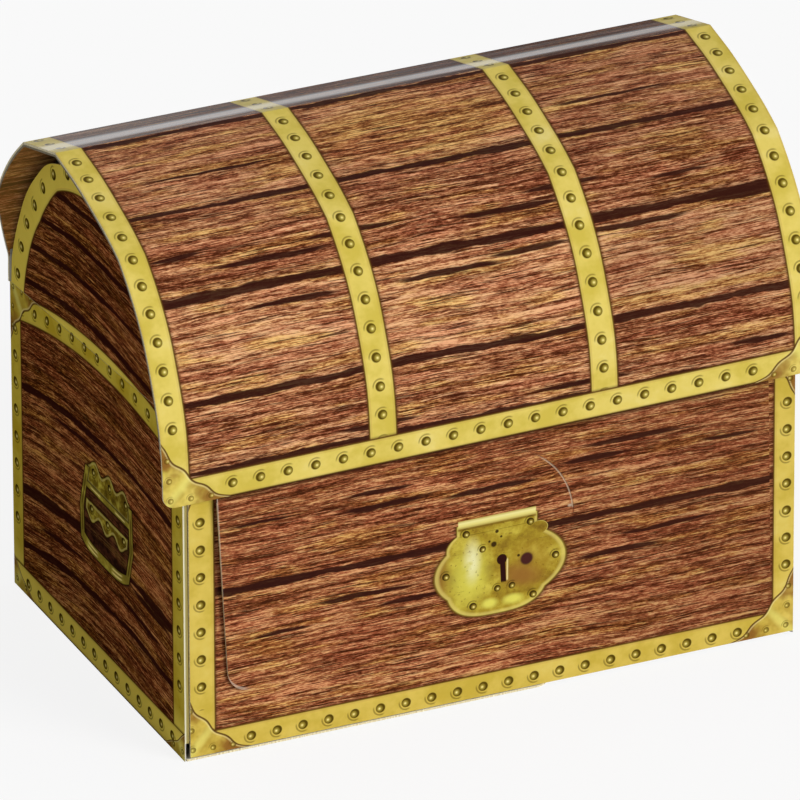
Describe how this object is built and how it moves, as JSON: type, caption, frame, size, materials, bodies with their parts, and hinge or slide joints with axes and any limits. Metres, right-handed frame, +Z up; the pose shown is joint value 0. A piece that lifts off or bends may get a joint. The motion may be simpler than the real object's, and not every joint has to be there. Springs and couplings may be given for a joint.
{
  "type": "treasure chest box",
  "caption": "Small folding paperboard treasure chest with a domed lid on a rear crease, a front closing flap with a push-in lock tab, folding end arches and a flat flap bottom.",
  "frame": {"origin": "middle of the base, on the surface that the chest stands on", "axes": "+X along the chest to the right seen from the front, +Y from the front to the back, +Z up"},
  "size_m": [0.161, 0.0989, 0.127],
  "materials": {
    "printed_board": "semi-gloss print",
    "printed_lid_board": "semi-gloss print",
    "plain_board": "matt unprinted"
  },
  "bodies": {
    "box": {"front_wall": "printed_board", "back_wall": "printed_board", "left_wall": "printed_board", "right_wall": "printed_board", "corner_glue_flap": "printed_board", "bottom_front_flap": "plain_board", "bottom_back_flap": "plain_board", "bottom_left_flap": "printed_board", "bottom_right_flap": "printed_board"},
    "lid": {"lid_back_panel": "printed_lid_board", "lid_top_panel": "printed_lid_board", "lid_front_panel": "printed_lid_board", "lid_left_hem": "printed_lid_board", "lid_right_hem": "printed_lid_board"},
    "flap": {"closing_flap": "printed_board"},
    "tab": {"lock_tab": "printed_board"},
    "left_end_arch": {"left_arch": "printed_board"},
    "right_end_arch": {"right_arch": "printed_board"}
  },
  "joints": [
    {"name": "lid_crease", "type": "hinge", "parent": "box", "child": "lid", "pos_m": [0, 0.04865, 0.0765], "axis": [-1, 0, 0], "range_deg": [0, 165]},
    {"name": "closing_flap_crease", "type": "hinge", "parent": "lid", "child": "flap", "pos_m": [0, -0.0502, 0.0657], "axis": [-1, 0, -0.0094], "range_deg": [0, 150]},
    {"name": "lock_tab_crease", "type": "hinge", "parent": "flap", "child": "tab", "pos_m": [-0.00048, -0.04935, 0.0428], "axis": [-1, 0.0001, -0.0094], "range_deg": [0, 35]},
    {"name": "left_arch_crease", "type": "hinge", "parent": "box", "child": "left_end_arch", "pos_m": [-0.0745, 0.04785, 0.0765], "axis": [0, 0.9977, -0.0681], "range_deg": [0, 90]},
    {"name": "right_arch_crease", "type": "hinge", "parent": "box", "child": "right_end_arch", "pos_m": [0.0745, 0.04785, 0.0765], "axis": [0, -0.9977, 0.0681], "range_deg": [0, 90]}
  ]
}
